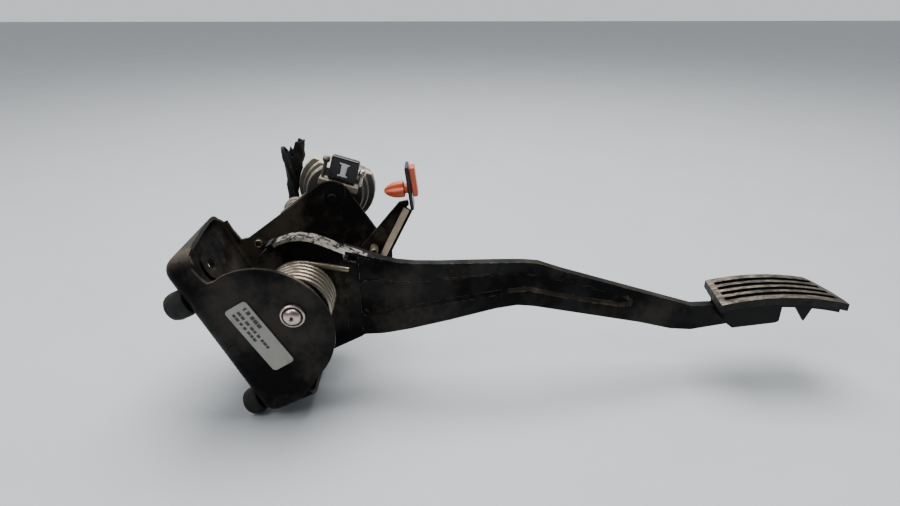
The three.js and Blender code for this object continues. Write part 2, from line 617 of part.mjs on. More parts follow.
function sensorHousing() {
  const outside = flatTopped([
    [0, SENSOR_FRONT], [16.5, SENSOR_FRONT], [17.5, SENSOR_FRONT + 1],
    [17.5, SENSOR_FRONT + 4.5], [19.4, SENSOR_FRONT + 5], [20, SENSOR_FRONT + 6],
    [20, SENSOR_FRONT + 9.5], [23, SENSOR_FRONT + 10], [SENSOR_RADIUS, SENSOR_FRONT + 11],
    [SENSOR_RADIUS, SENSOR_FRONT + 15], [22, SENSOR_FRONT + 16], [22, HOUSING_BACK],
    [0, HOUSING_BACK],
  ], FLAT_TOP);
  const inside = flatTopped([
    [0, SENSOR_FRONT + 3], [14.5, SENSOR_FRONT + 3], [14.5, SENSOR_FRONT + 10.5],
    [17, SENSOR_FRONT + 10.5], [17, HOUSING_BACK + 1], [0, HOUSING_BACK + 1],
  ], FLAT_TOP - 2);
  const ear = plate([[-11, 26], [-15, 10], [-24, 8.5], [-29, 15], [-16, 33]],
    SENSOR_FRONT, SENSOR_FRONT + 4);
  const neck = box(LEDGE.left, LEDGE.right, SENSOR_FRONT - 1, SENSOR_FRONT + 1, LEDGE.low, LEDGE.high);
  const bore = rod(3.8, SENSOR_FRONT - 1, SENSOR_FRONT + 4).translate(0, 0, SENSOR_DISTANCE);
  const shell = outside.add(toSolid(ear)).add(toSolid(neck));
  return cut(shell.subtract(inside), bore);
}

addPiece(sensorFrame, 'sensor_housing', sensorHousing(), 'dark_plastic');
addPiece(sensorFrame, 'sensor_cap', flatTopped([
  [0, HOUSING_BACK + GAP], [19.5, HOUSING_BACK + GAP], [19.5, HOUSING_BACK + 2],
  [17, HOUSING_BACK + 4], [0, HOUSING_BACK + 4],
], FLAT_TOP), 'dark_plastic');
addPiece(sensorFrame, 'sensor_shaft', turned([
  [0, FAR_INNER - 1], [2.6, FAR_INNER - 1], [3.2, FAR_INNER - 0.4], [3.2, SENSOR_FRONT + 13],
  [0, SENSOR_FRONT + 13],
], 20).translate(0, 0, SENSOR_DISTANCE), 'zinc');
addPiece(sensorFrame, 'wiper_rotor',
  tube(11.5, 3.2 + GAP, SENSOR_FRONT + 5, SENSOR_FRONT + 9, 28).translate(0, 0, SENSOR_DISTANCE), 'nylon');
addPiece(sensorFrame, 'sensor_board',
  rod(11.5, SENSOR_FRONT + 15, SENSOR_FRONT + 16.6, 32).translate(0, 0, SENSOR_DISTANCE), 'board');

// ---- connector on top of the sensor ----
const FRAME = { left: -6, right: 10.6, low: 47.1, high: 61.8, near: 78, far: 83 };

addPiece(sensorFrame, 'connector_ledge',
  box(LEDGE.left, LEDGE.right, LEDGE.near, SENSOR_FRONT - 1 - GAP, LEDGE.low, LEDGE.high),
  'dusty_plastic');

// outline of the frame's I-shaped window
function windowOutline() {
  const middle = (FRAME.left + FRAME.right) / 2;
  const bar = 3.3;
  const stem = 1.8;
  const half = [[bar, 50.2], [bar, 51.8], [stem, 51.8], [stem, 57.4], [bar, 57.4], [bar, 59]];
  const right = half.map(([x, z]) => [middle + x, z]);
  const left = half.map(([x, z]) => [middle - x, z]).reverse();
  return [...right, ...left];
}

function connectorFrame() {
  const { left, right, near, far, low, high } = FRAME;
  const block = roundedBox(left, right, near, far, low, high, 1.2);
  return cut(toSolid(block), plate(windowOutline(), near - 1, far + 1));
}

addPiece(sensorFrame, 'connector_frame', connectorFrame(), 'dark_plastic');
addPiece(sensorFrame, 'connector_lock',
  plate(insetOutline(windowOutline(), GAP), FRAME.near + 0.2, FRAME.far - 1), 'nylon');

// posts that hold the sensor off the far wall, clear of the link
const SPACERS = { left: [-20.5, 16.5], right: [10.5, 28.5] };
for (const [side, [x, z]] of Object.entries(SPACERS)) {
  addPiece(sensorFrame, `sensor_spacer_${side}`,
    rod(3.5, BRACKET_DEPTH + GAP, SENSOR_FRONT - GAP, 16).translate(x, 0, z), 'zinc');
}

['left', 'right'].forEach((side) => {
  const foot = LEDGE.high + GAP;
  const [x, top, finish] = side === 'left'
    ? [FRAME.left - 2.9, 60.2, 'dark_plastic'] : [FRAME.right + 2.6, 57.6, 'zinc'];
  addPiece(sensorFrame, `latch_post_${side}`, alongZ(turned([
    [0, foot], [1.2, foot], [1.2, top - 4.2], [2, top - 3.8], [2.3, top - 2], [1.5, top - 0.4], [0, top],
  ], 16)).translate(x, 80.5, 0), finish);
});

// ---- cable gland and torn boot beside the sensor ----
addPiece(sensorFrame, 'cable_gland', turned([
  [0, 0], [6.5, 0], [6.5, 1], [8.1, 1.4], [8.1, 4.4], [7, 5.2], [0, 5.2],
], 28).translate(-20.4, SENSOR_FRONT + 4 + GAP, 17.3), 'dusty_plastic');

const BOOT = { x: -18.7, y: SENSOR_FRONT + 15.5, z: 19, lean: 0.1, flatness: 0.72 };
const TORN_EDGE = [[-24, 60.6], [-20.8, 60.3], [-18.4, 56.4], [-17.2, 59.6], [-15.9, 56.6],
  [-13.6, 60.6], [-11.8, 64.8], [-9.6, 63.9], [-7.6, 64.6], [-4, 63.4], [-4, 70], [-24, 70]];

function bootSolid() {
  const cup = turned([
    [0, 0], [3, 0], [3.6, 14], [4, 21], [5.4, 28], [6.9, 35], [7.2, 46],
    [5.9, 46], [5.6, 35], [4.1, 28], [2.8, 21], [2.3, 9], [0, 9],
  ], 24).rotateX(Math.PI / 2).scale(1, BOOT.flatness, 1);
  const lean = new THREE.Matrix4().makeShear(0, 0, 0, 0, BOOT.lean, 0);
  const leaning = toSolid(cup.applyMatrix4(lean).translate(BOOT.x, BOOT.y, BOOT.z));
  const tornAway = plate(TORN_EDGE, BOOT.y - 10, BOOT.y + 10);
  const hole = rod(1, BOOT.y - 10, BOOT.y + 10, 8).translate(-14.6, 0, 56.2);
  return cut(leaning, tornAway, hole);
}

addPiece(pivotFrame, 'cable_boot', bootSolid(), 'rubber');

// ---- harness bracket, riveted to the far wall, and its clip ----
const HARNESS_BACK = FAR_INNER - GAP;
const HARNESS_NEAR = HARNESS_BACK - 1.5;

const FLANGE = { depth: 6, splay: 0.6 }; // the right edge is folded forward and outward

function harnessSolid() {
  const back = plate([[24.5, 3], [27, -1], [38, -3], [55, 30.6], [56.3, 32], [55.8, 35],
    [50.4, 33.7]], HARNESS_NEAR, HARNESS_BACK);
  const splay = new THREE.Matrix4().makeShear(0, 0, -FLANGE.splay, 0, 0, 0);
  const flange = plate([[36.2, -3], [38, -3], [55, 30.6], [53.2, 30.6]], -FLANGE.depth, 1.5)
    .applyMatrix4(splay).translate(0, HARNESS_NEAR, 0);
  const [x, z] = RIVET_RIGHT;
  const rivetHole = rod(RIVET_HOLE, HARNESS_NEAR - 8, HARNESS_BACK + 1, 20).translate(x, 0, z);
  return cut(join(back, flange), rivetHole);
}

addPiece(pivotFrame, 'harness_bracket', harnessSolid(), 'black_steel');

// blind rivets through the far wall, each with its broken mandrel deep in the bore: the right
// one also holds the harness bracket
function hollowRivet(near) {
  const head = BRACKET_DEPTH + GAP;
  return turned([
    [0, near + 2.5], [1.6, near + 2.5], [1.6, near], [2.6, near], [2.6, head], [3.8, head],
    [3.8, head + 0.9], [0, head + 0.9],
  ], 20);
}

addPiece(pivotFrame, 'hollow_rivet_left',
  hollowRivet(FAR_INNER - 2.5).translate(RIVET_LEFT[0], 0, RIVET_LEFT[1]), 'zinc');
addPiece(pivotFrame, 'hollow_rivet_right',
  hollowRivet(FAR_INNER - 10).translate(RIVET_RIGHT[0], 0, RIVET_RIGHT[1]), 'zinc');

// the clip's plate leans back a little at the top; its own frame is centred on the clip
const CLIP = { x: 57.2, y: HARNESS_BACK - 4, z: 43.8, low: -12.3, high: 13.7 };
const clipFrame = new THREE.Group();
clipFrame.position.set(CLIP.x, CLIP.y, CLIP.z);
clipFrame.rotation.y = -7 * DEG;
pivotFrame.add(clipFrame);

function clipPlateSolid() {
  const slab = roundedBox(-1.1, 1.1, -7, 7, CLIP.low, CLIP.high, 1);
  return cut(toSolid(slab), alongX(rod(3.1, -4, 4, 20)));
}

addPiece(clipFrame, 'clip_plate', clipPlateSolid(), 'dark_plastic');

function clipSolid() {
  const bullet = alongX(turned([
    [0, -15], [1.2, -14.6], [4.2, -8.5], [4.2, -3.4], [2.8, -2.8], [2.8, 2], [0, 2],
  ], 24));
  const head = roundedBox(1.1 + GAP, 4.6, -4.5, 4.5, -4.5, 13, 1.2);
  return join(bullet, head);
}

addPiece(clipFrame, 'harness_clip', clipSolid(), 'orange');

export default module;
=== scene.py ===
import json
import math
import random

import bmesh
import bpy
from mathutils import Matrix, Vector, noise

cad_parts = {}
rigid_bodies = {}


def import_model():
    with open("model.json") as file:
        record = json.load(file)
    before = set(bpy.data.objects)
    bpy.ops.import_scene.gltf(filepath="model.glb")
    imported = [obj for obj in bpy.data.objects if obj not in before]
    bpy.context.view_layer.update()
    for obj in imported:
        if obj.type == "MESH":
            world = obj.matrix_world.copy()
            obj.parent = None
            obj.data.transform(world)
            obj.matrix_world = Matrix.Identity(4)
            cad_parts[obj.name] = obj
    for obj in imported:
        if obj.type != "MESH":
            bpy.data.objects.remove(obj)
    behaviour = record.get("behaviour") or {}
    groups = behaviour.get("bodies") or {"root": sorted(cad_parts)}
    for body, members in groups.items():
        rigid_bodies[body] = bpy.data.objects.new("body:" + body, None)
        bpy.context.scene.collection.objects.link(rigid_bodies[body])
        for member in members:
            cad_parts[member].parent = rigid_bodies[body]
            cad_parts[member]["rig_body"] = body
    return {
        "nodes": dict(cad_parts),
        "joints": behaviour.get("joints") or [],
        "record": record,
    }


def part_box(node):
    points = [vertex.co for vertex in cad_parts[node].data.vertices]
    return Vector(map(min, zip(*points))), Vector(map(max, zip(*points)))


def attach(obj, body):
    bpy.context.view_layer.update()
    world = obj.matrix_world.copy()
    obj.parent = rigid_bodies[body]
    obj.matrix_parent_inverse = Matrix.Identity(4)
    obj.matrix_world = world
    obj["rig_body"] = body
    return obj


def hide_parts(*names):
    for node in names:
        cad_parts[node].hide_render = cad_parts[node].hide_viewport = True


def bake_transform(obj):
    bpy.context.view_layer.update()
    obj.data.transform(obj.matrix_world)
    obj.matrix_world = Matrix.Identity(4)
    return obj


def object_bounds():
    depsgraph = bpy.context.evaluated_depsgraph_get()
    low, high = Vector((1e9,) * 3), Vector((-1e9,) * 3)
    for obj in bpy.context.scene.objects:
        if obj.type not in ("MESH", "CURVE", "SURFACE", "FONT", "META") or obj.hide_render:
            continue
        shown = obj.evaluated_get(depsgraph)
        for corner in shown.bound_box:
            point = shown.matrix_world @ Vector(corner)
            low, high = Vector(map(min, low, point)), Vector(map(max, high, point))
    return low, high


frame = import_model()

CAD_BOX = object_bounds()

# ---- places, worked out from the frame (metres) ----
MM = 0.001
JOINTS = {joint["name"]: joint for joint in frame["joints"]}
MOUNTS = {mount["name"]: mount for mount in frame["record"]["mounts"]}
BRACKET_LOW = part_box("mounting_bracket")[0]
PEDAL_AXIS = Vector(JOINTS["pedal_hinge"]["pos_m"])
PIVOT = Vector((PEDAL_AXIS.x, BRACKET_LOW.y, PEDAL_AXIS.z))  # on the near wall's outer face

INWARD = -Vector(MOUNTS["bulkhead_face"]["axis"])
TILT = math.atan2(INWARD.z, INWARD.x)
PIVOT_FRAME = Matrix.Translation(PIVOT)
BRACKET_FRAME = PIVOT_FRAME @ Matrix.Rotation(-TILT, 4, "Y")

CAMERA_PLACE = (71.5, -258.0, 149.9)  # from the pivot, in millimetres
CAMERA_PITCH = 24.35  # degrees below level
CAMERA_TURN = 1.57  # degrees to the right of straight ahead
CAMERA_LENS = 23.6  # millimetres, on a sensor 36 wide

random.seed(7)


# ---- shader helpers ----
class Tree:
    """A material's node tree, with one short call for each kind of node."""

    def __init__(self, name):
        self.material = bpy.data.materials.new(name)
        self.material.use_nodes = True
        self.nodes = self.material.node_tree.nodes
        self.links = self.material.node_tree.links
        self.shader = self.nodes["Principled BSDF"]
        self.coordinates = self.nodes.new("ShaderNodeTexCoord")
        self.place = self.coordinates.outputs["Object"]
        split = self.nodes.new("ShaderNodeSeparateXYZ")
        self.links.new(self.coordinates.outputs["Normal"], split.inputs[0])
        self.up = split.outputs["Z"]

    def put(self, socket, value):
        if isinstance(value, bpy.types.NodeSocket):
            self.links.new(value, socket)
        elif hasattr(socket.default_value, "__len__") and len(value) == 3:
            size = len(socket.default_value)
            socket.default_value = (*value, 1)[:size]
        else:
            socket.default_value = value

    def set(self, colour, rough, metal=0.0, specular=0.5):
        self.put(self.shader.inputs["Base Color"], colour)
        self.put(self.shader.inputs["Roughness"], rough)
        self.put(self.shader.inputs["Metallic"], metal)
        self.put(self.shader.inputs["Specular IOR Level"], specular)

    def stretched(self, x, y, z):
        mapping = self.nodes.new("ShaderNodeMapping")
        mapping.inputs["Scale"].default_value = (x, y, z)
        self.links.new(self.place, mapping.inputs["Vector"])
        return mapping.outputs["Vector"]

    def noise(self, scale, detail=4.0, roughness=0.6, distortion=0.0, place=None):
        made = self.nodes.new("ShaderNodeTexNoise")
        made.inputs["Scale"].default_value = scale
        made.inputs["Detail"].default_value = detail
        made.inputs["Roughness"].default_value = roughness
        made.inputs["Distortion"].default_value = distortion
        self.links.new(place or self.place, made.inputs["Vector"])
        return made.outputs["Fac"]

    def math(self, operation, a, b=0.0, clamp=False):
        made = self.nodes.new("ShaderNodeMath")
        made.operation = operation
        made.use_clamp = clamp
        self.put(made.inputs[0], a)
        self.put(made.inputs[1], b)
        return made.outputs[0]

    def band(self, value, low, high, start=0.0, end=1.0):
        """value from low to high becomes start to end, smoothly."""
        made = self.nodes.new("ShaderNodeMapRange")
        made.interpolation_type = "SMOOTHSTEP"
        made.inputs["From Min"].default_value = low
        made.inputs["From Max"].default_value = high
        made.inputs["To Min"].default_value = start
        made.inputs["To Max"].default_value = end
        self.links.new(value, made.inputs["Value"])
        return made.outputs["Result"]

    def mix(self, factor, a, b):
        made = self.nodes.new("ShaderNodeMix")
        made.data_type = "RGBA"
        self.put(made.inputs[0], factor)
        self.put(made.inputs[6], a)
        self.put(made.inputs[7], b)
        return made.outputs[2]

    def axis(self, name):
        split = self.nodes.new("ShaderNodeSeparateXYZ")
        self.links.new(self.place, split.inputs[0])
        return split.outputs[name]

    def from_pivot(self):
        x = self.math("POWER", self.math("SUBTRACT", self.axis("X"), PIVOT.x), 2.0)
        z = self.math("POWER", self.math("SUBTRACT", self.axis("Z"), PIVOT.z), 2.0)
        return self.math("SQRT", self.math("ADD", x, z))

    def bump(self, height, strength, distance):
        made = self.nodes.new("ShaderNodeBump")
        made.inputs["Strength"].default_value = strength
        made.inputs["Distance"].default_value = distance
        self.links.new(height, made.inputs["Height"])
        self.links.new(made.outputs["Normal"], self.shader.inputs["Normal"])


def scratch_mask(tree, amount=0.5):
    """Thin lines in three directions, broken up by a slow noise."""
    lines = None
    for stretch in ((40, 900, 60), (700, 500, 30), (500, 40, 800)):
        fibres = tree.noise(1.0, 2.0, 0.5, 0.6, tree.stretched(*stretch))
        line = tree.band(fibres, 0.70, 0.76)
        lines = line if lines is None else tree.math("MAXIMUM", lines, line)
    patches = tree.band(tree.noise(55), 0.62 - 0.2 * amount, 0.75)
    return tree.math("MULTIPLY", lines, patches)


def dust_and_highlight_mask(tree, amount):
    """Dust lies on what faces up, thicker where a slow noise says so; in the sensor and cream
    plastics it also stands for a painted highlight on the top faces.
    """
    facing = tree.band(tree.up, -0.15, 0.95)
    cloud = tree.band(tree.noise(38, 6.0, 0.65), 0.35, 0.72)
    grain = tree.band(tree.noise(900, 2.0), 0.3, 0.75, 0.6, 1.0)
    thick = tree.math("MULTIPLY", tree.math("MULTIPLY", facing, cloud), grain)
    return tree.math("MULTIPLY", thick, amount, clamp=True)


# ---- materials ----
BLACK = (0.0028, 0.0031, 0.0042)
DUST_AND_HIGHLIGHT_TAN = (0.17, 0.14, 0.105)
FLANGE_HIGHLIGHT_CREAM = (0.60, 0.51, 0.38)
BARE = (0.62, 0.58, 0.52)
GRIME = (0.012, 0.010, 0.008)


def coated_steel(name, dust=0.5, worn=0.0, film=0.0, hub=None, film_colour=DUST_AND_HIGHLIGHT_TAN, least=0.08):
    """Satin black coat with dust and scratches.

    worn lets bare steel through, and film is a lighter coat on upright faces too: dust on most
    pieces, and a painted highlight in the slope and flange materials; least is the share of the film
    that is there even where its noise is thinnest.
    hub gathers most of the film within a distance of the pivot.
    """
    tree = Tree(name)
    dust_and_highlight = dust_and_highlight_mask(tree, dust)
    if film > 0:
        # the film is dust, and in the slope and flange materials a painted highlight
        film_mask = tree.band(tree.noise(34, 7.0, 0.65), 0.44, 0.64, least * film, film)
        if hub:
            near_hub = tree.band(tree.from_pivot(), 0.7 * hub, 1.1 * hub, 1.0, 0.25)
            film_mask = tree.math("MULTIPLY", film_mask, near_hub)
        dust_and_highlight = tree.math("MAXIMUM", dust_and_highlight, film_mask)
    scratched = scratch_mask(tree)
    colour = tree.mix(tree.noise(24, 5.0), BLACK, (0.007, 0.007, 0.0075))
    colour = tree.mix(tree.math("MULTIPLY", scratched, 0.3), colour, (0.16, 0.155, 0.15))
    colour = tree.mix(dust_and_highlight, colour, film_colour)
    rough = tree.band(tree.noise(60, 6.0), 0.3, 0.7, 0.28, 0.46)
    rough = tree.math("ADD", rough, tree.math("MULTIPLY", dust_and_highlight, 0.4), clamp=True)
    height = tree.math("ADD", tree.noise(420, 3.0), tree.math("MULTIPLY", scratched, -0.5))
    metallic = 0.0
    if worn > 0:
        gone = tree.band(tree.noise(230, 5.0, 0.7), 0.70 - 0.4 * worn, 0.76 - 0.4 * worn)
        metal = tree.mix(tree.noise(800), BARE, (0.34, 0.29, 0.24))
        colour = tree.mix(gone, colour, metal)
        metallic = gone
        rough = tree.math("ADD", tree.math("MULTIPLY", gone, -0.1), rough)
        height = tree.math("ADD", height, tree.math("MULTIPLY", gone, -0.8))
    gloss = tree.band(tree.noise(30, 5.0), 0.42, 0.6, 0.02, 0.12)
    tree.set(colour, rough, metallic, gloss)
    tree.bump(height, 0.25, 0.0002)
    return tree.material


def bare_steel(name):
    """Rubbed-through metal with the last specks of coat and rust."""
    tree = Tree(name)
    specks = tree.band(tree.noise(330, 6.0, 0.7), 0.54, 0.62)
    rust = tree.band(tree.noise(150, 5.0), 0.55, 0.75)
    colour = tree.mix(rust, (0.74, 0.69, 0.58), (0.34, 0.24, 0.15))
    colour = tree.mix(specks, colour, BLACK)
    tree.set(colour, tree.band(tree.noise(300), 0.3, 0.7, 0.24, 0.48),
             tree.band(specks, 0.0, 1.0, 1.0, 0.0))
    tree.bump(tree.noise(500, 5.0), 0.5, 0.0003)
    return tree.material


def plated(name, tint, dirt, rough=0.34):
    """Zinc plate: fine turning marks, and dirt in patches."""
    tree = Tree(name)
    fine = tree.noise(1.0, 3.0, 0.6, 0.0, tree.stretched(900, 60, 900))
    patches = tree.band(tree.noise(170, 6.0, 0.68), 0.48, 0.72)
    colour = tree.mix(fine, tint, tuple(0.72 * c for c in tint))
    colour = tree.mix(tree.math("MULTIPLY", patches, 0.8), colour, dirt)
    tree.set(colour, tree.band(patches, 0.0, 1.0, rough, rough + 0.3),
             tree.band(patches, 0.0, 1.0, 1.0, 0.45))
    tree.bump(tree.math("ADD", fine, patches), 0.15, 0.00015)
    return tree.material


def spring_wire(name):
    """Drawn wire, brown with old oil that has dried in patches."""
    tree = Tree(name)
    drawn = tree.noise(1.0, 4.0, 0.6, 0.0, tree.stretched(120, 700, 120))
    oil = tree.band(tree.noise(90, 6.0, 0.65), 0.42, 0.68)
    colour = tree.mix(drawn, (0.34, 0.30, 0.235), (0.19, 0.155, 0.115))
    colour = tree.mix(tree.math("MULTIPLY", oil, 0.8), colour, (0.075, 0.055, 0.036))
    tree.set(colour, tree.band(oil, 0.0, 1.0, 0.3, 0.55), tree.band(oil, 0.0, 1.0, 0.95, 0.6))
    tree.bump(drawn, 0.2, 0.0001)
    return tree.material


def rubber(name, dust=0.5):
    tree = Tree(name)
    dust_and_highlight = dust_and_highlight_mask(tree, dust)
    scuffs = tree.band(tree.noise(130, 6.0, 0.7), 0.55, 0.72)
    colour = tree.mix(scuffs, (0.0075, 0.0073, 0.007), (0.02, 0.018, 0.016))
    tree.set(tree.mix(dust_and_highlight, colour, (0.15, 0.12, 0.09)),
             tree.band(tree.noise(200), 0.3, 0.7, 0.62, 0.85), specular=0.35)
    tree.bump(tree.noise(1500, 4.0), 0.35, 0.0001)
    return tree.material


def pad_rubber(name):
    """Black in the grooves, polished tan and grey where shoes have rubbed the ribs."""
    tree = Tree(name)
    height = tree.nodes.new("ShaderNodeAttribute")
    height.attribute_name = "rib_height"
    top = tree.math("MULTIPLY", tree.band(height.outputs["Fac"], 0.75, 0.98),
                    tree.band(tree.up, 0.6, 0.9))
    blotch = tree.band(tree.noise(110, 6.0, 0.7), 0.36, 0.62)
    fine = tree.band(tree.noise(1.0, 5.0, 0.7, 0.3, tree.stretched(160, 900, 400)), 0.32, 0.66)
    low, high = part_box("pedal_pad")
    along = tree.band(tree.axis("X"), low.x, high.x, 1.0, 0.35)
    wear = tree.math("MULTIPLY", tree.math("MULTIPLY", top, along), tree.math("ADD", blotch, 0.12))
    wear = tree.math("MULTIPLY", wear, fine, clamp=True)
    tan = tree.mix(tree.noise(60, 3.0), (0.42, 0.33, 0.215), (0.22, 0.195, 0.17))
    grime = tree.band(tree.noise(240, 5.0), 0.4, 0.7)
    colour = tree.mix(grime, (0.008, 0.0077, 0.0073), (0.016, 0.014, 0.012))
    tree.set(tree.mix(wear, colour, tan), tree.band(tree.noise(220), 0.3, 0.7, 0.45, 0.7),
             specular=0.2)
    tree.bump(tree.noise(1100, 5.0), 0.4, 0.00012)
    return tree.material


def moulded(name, colour, dust=0.3, rough=0.5, dust_and_highlight_colour=DUST_AND_HIGHLIGHT_TAN, specular=0.5):
    """Moulded plastic with a spark-eroded grain; in the sensor and cream plastics the dust on the
    top faces is also a painted highlight.
    """
    tree = Tree(name)
    dust_and_highlight = dust_and_highlight_mask(tree, dust)
    shade = tree.mix(tree.noise(45, 4.0), colour, tuple(0.7 * c for c in colour))
    tree.set(tree.mix(dust_and_highlight, shade, dust_and_highlight_colour),
             tree.math("ADD", tree.math("MULTIPLY", dust_and_highlight, 0.3), rough, clamp=True),
             specular=specular)
    tree.bump(tree.noise(1300, 3.0), 0.2, 0.0001)
    return tree.material


def label_foil(name):
    tree = Tree(name)
    stains = tree.band(tree.noise(120, 6.0), 0.45, 0.75)
    colour = tree.mix(stains, (0.33, 0.32, 0.285), (0.24, 0.228, 0.195))
    colour = tree.mix(tree.math("MULTIPLY", scratch_mask(tree, 1.0), 0.5), colour, (0.5, 0.5, 0.48))
    tree.set(colour, tree.band(tree.noise(90), 0.3, 0.7, 0.42, 0.62), 0.25)
    tree.bump(tree.noise(300, 4.0), 0.15, 0.0001)
    return tree.material


MATERIALS = {
    "bracket": coated_steel("bracket_coat", dust=0.6, film=0.16),
    "bracket_edge": coated_steel("bracket_edge", dust=0.3, worn=0.58),
    "harness": coated_steel("harness_coat", dust=0.4, film=0.5),
    "arm": coated_steel("arm_coat", dust=0.18, film=0.6, hub=0.030),
    "arm_edge": coated_steel("arm_edge", dust=0.25, worn=0.5),
    "rubbed": coated_steel("rubbed_rim", dust=0.3, worn=0.56),
    # a cream film painted on the folded edge's inner face is its highlight
    "flange_highlight": coated_steel("painted_flange_highlight", 0.8, film=1.0, film_colour=FLANGE_HIGHLIGHT_CREAM, least=0.7),
    # a tan film painted on the arm panel's up-facing slopes is their highlight, over a little real
    # dust
    "slope_highlight": coated_steel("slope_painted_highlight", dust=0.2, film=0.95, least=0.2),
    "web": coated_steel("dusty_web", dust=0.2, film=0.26),
    "far_wall": coated_steel("far_wall_coat", dust=0.6, film=0.4),
    "bare": bare_steel("rubbed_steel"),
    "zinc": plated("zinc_plate", (0.64, 0.56, 0.50), (0.24, 0.17, 0.12)),
    "rivet": plated("rivet_dome", (0.70, 0.55, 0.47), (0.30, 0.20, 0.14), 0.3),
    "tan": plated("tan_rivet", (0.52, 0.44, 0.33), (0.26, 0.20, 0.14), 0.42),
    "grime": moulded("packed_grime", GRIME, 0.05, 0.7),
    "spring": spring_wire("spring_wire"),
    "rubber": rubber("matt_rubber", 0.16),
    "boot": rubber("torn_rubber", 0.2),
    "pad": pad_rubber("pad_rubber"),
    "dark": moulded("dark_plastic", (0.007, 0.0068, 0.0066), 0.3, specular=0.14),
    "gloss": moulded("glossy_black", (0.007, 0.007, 0.0075), 0.12, 0.28),
    # the cream on the top faces of the sensor housing, ledge and gland is dust and a painted
    # highlight
    "drum": moulded("sensor_plastic", (0.055, 0.046, 0.037), 1.7, 0.42, (0.58, 0.50, 0.38)),
    "cream": moulded("dusty_plastic", (0.22, 0.185, 0.14), 2.2, 0.6, (0.66, 0.58, 0.45)),
    "nylon": moulded("nylon", (0.72, 0.70, 0.64), 0.2, 0.4),
    "white": moulded("white_plastic", (0.93, 0.94, 0.93), 0.03, 0.3),
    "orange": moulded("orange_plastic", (0.80, 0.13, 0.045), 0.12, 0.32),
    "label": label_foil("label_foil"),
    "ink": moulded("label_ink", (0.03, 0.03, 0.032), 0.1, 0.5),
    "board": moulded("circuit_board", (0.04, 0.12, 0.05), 0.1, 0.4),
}


# ---- mesh helpers ----
def finish_object(name, bm, materials, smooth_angle=35.0, weighted=True):
    mesh = bpy.data.meshes.new(name)
    bm.to_mesh(mesh)
    bm.free()
    for material in materials:
        mesh.materials.append(MATERIALS[material])
    mesh.shade_smooth()
    mesh.set_sharp_from_angle(angle=math.radians(smooth_angle))
    made = bpy.data.objects.new(name, mesh)
    bpy.context.scene.collection.objects.link(made)
    if weighted:
        normals = made.modifiers.new("normals", "WEIGHTED_NORMAL")
        normals.keep_sharp = True
    return made


def clean_copy(node):
    bm = bmesh.new()
    bm.from_mesh(frame["nodes"][node].data)
    bmesh.ops.remove_doubles(bm, verts=bm.verts, dist=2e-6)
    bmesh.ops.dissolve_limit(bm, angle_limit=math.radians(0.6), verts=bm.verts, edges=bm.edges)
    return bm


def round_edges(bm, width, segments=2, sharpest=28.0):
    edges = [e for e in bm.edges if len(e.link_faces) == 2
             and e.calc_face_angle(0) > math.radians(sharpest)]
    bmesh.ops.bevel(bm, geom=edges, offset=width, offset_type="OFFSET", segments=segments,
                    profile=0.5, affect="EDGES", clamp_overlap=True, material=1)


def remade(node, materials, width=0.3, segments=2, paint=None):
    """The CAD node with rounded edges: materials are its faces' and its edges' finish."""
    bm = clean_copy(node)
    if paint:
        paint(bm)
    round_edges(bm, width * MM, segments)
    made = finish_object(f"{node}_shell", bm, materials)
    stand_in(made, node)
    return made


def stand_in(made, node):
    """The new piece takes the node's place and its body."""
    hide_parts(node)
    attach(made, frame["nodes"][node]["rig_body"])


def place(bm, matrix):
    bmesh.ops.transform(bm, matrix=matrix @ Matrix.Scale(MM, 4), verts=bm.verts)


def lathe(profile, sides=48, ribs=0, rib_depth=0.0, ribbed=()):
    """A body turned about Y.

    profile holds (radius, y, material) and each material covers the band up to the next point.
    ribbed names the profile points whose radius swells and sinks ribs times round.
    """
    bm = bmesh.new()
    rings = []
    for i, (radius, y, _) in enumerate(profile):
        if radius == 0:
            rings.append([bm.verts.new((0, y, 0))] * sides)
            continue
        ring = []
        for k in range(sides):
            turn = 2 * math.pi * k / sides
            swell = 1 + rib_depth * math.cos(ribs * turn) if i in ribbed else 1.0
            ring.append(bm.verts.new((swell * radius * math.cos(turn), y,
                                      swell * radius * math.sin(turn))))
        rings.append(ring)
    for (ring, following), (_, _, material) in zip(zip(rings, rings[1:]), profile):
        for k in range(sides):
            after = (k + 1) % sides
            corners = dict.fromkeys((ring[k], ring[after], following[after], following[k]))
            bm.faces.new(list(corners)).material_index = material
    bmesh.ops.recalc_face_normals(bm, faces=bm.faces)
    return bm


# ---- pressed steel ----
WEB_NEAR = 31.0  # the hub web's near face, from the near wall
RIM_LOW = 17.5  # the rubbed part of the rim stays above this
RIM_LEFT = -10.0  # and between these
RIM_RIGHT = 34.0
FAR_WALL_FROM = 60.0  # faces beyond this depth belong to the bracket's far wall
DUST_AND_HIGHLIGHT_FROM = 118.0  # dust lies on the panel, and a painted highlight on its up-facing slopes, from here to the right end

# each list is a piece's materials: its faces', its rounded edges', then those painted on it
BRACKET_COATS = ["bracket", "bracket_edge", "far_wall"]
ARM_COATS = ["arm", "arm_edge", "bare", "rubbed", "slope_highlight", "web"]
HARNESS_COATS = ["harness", "bracket_edge", "flange_highlight"]


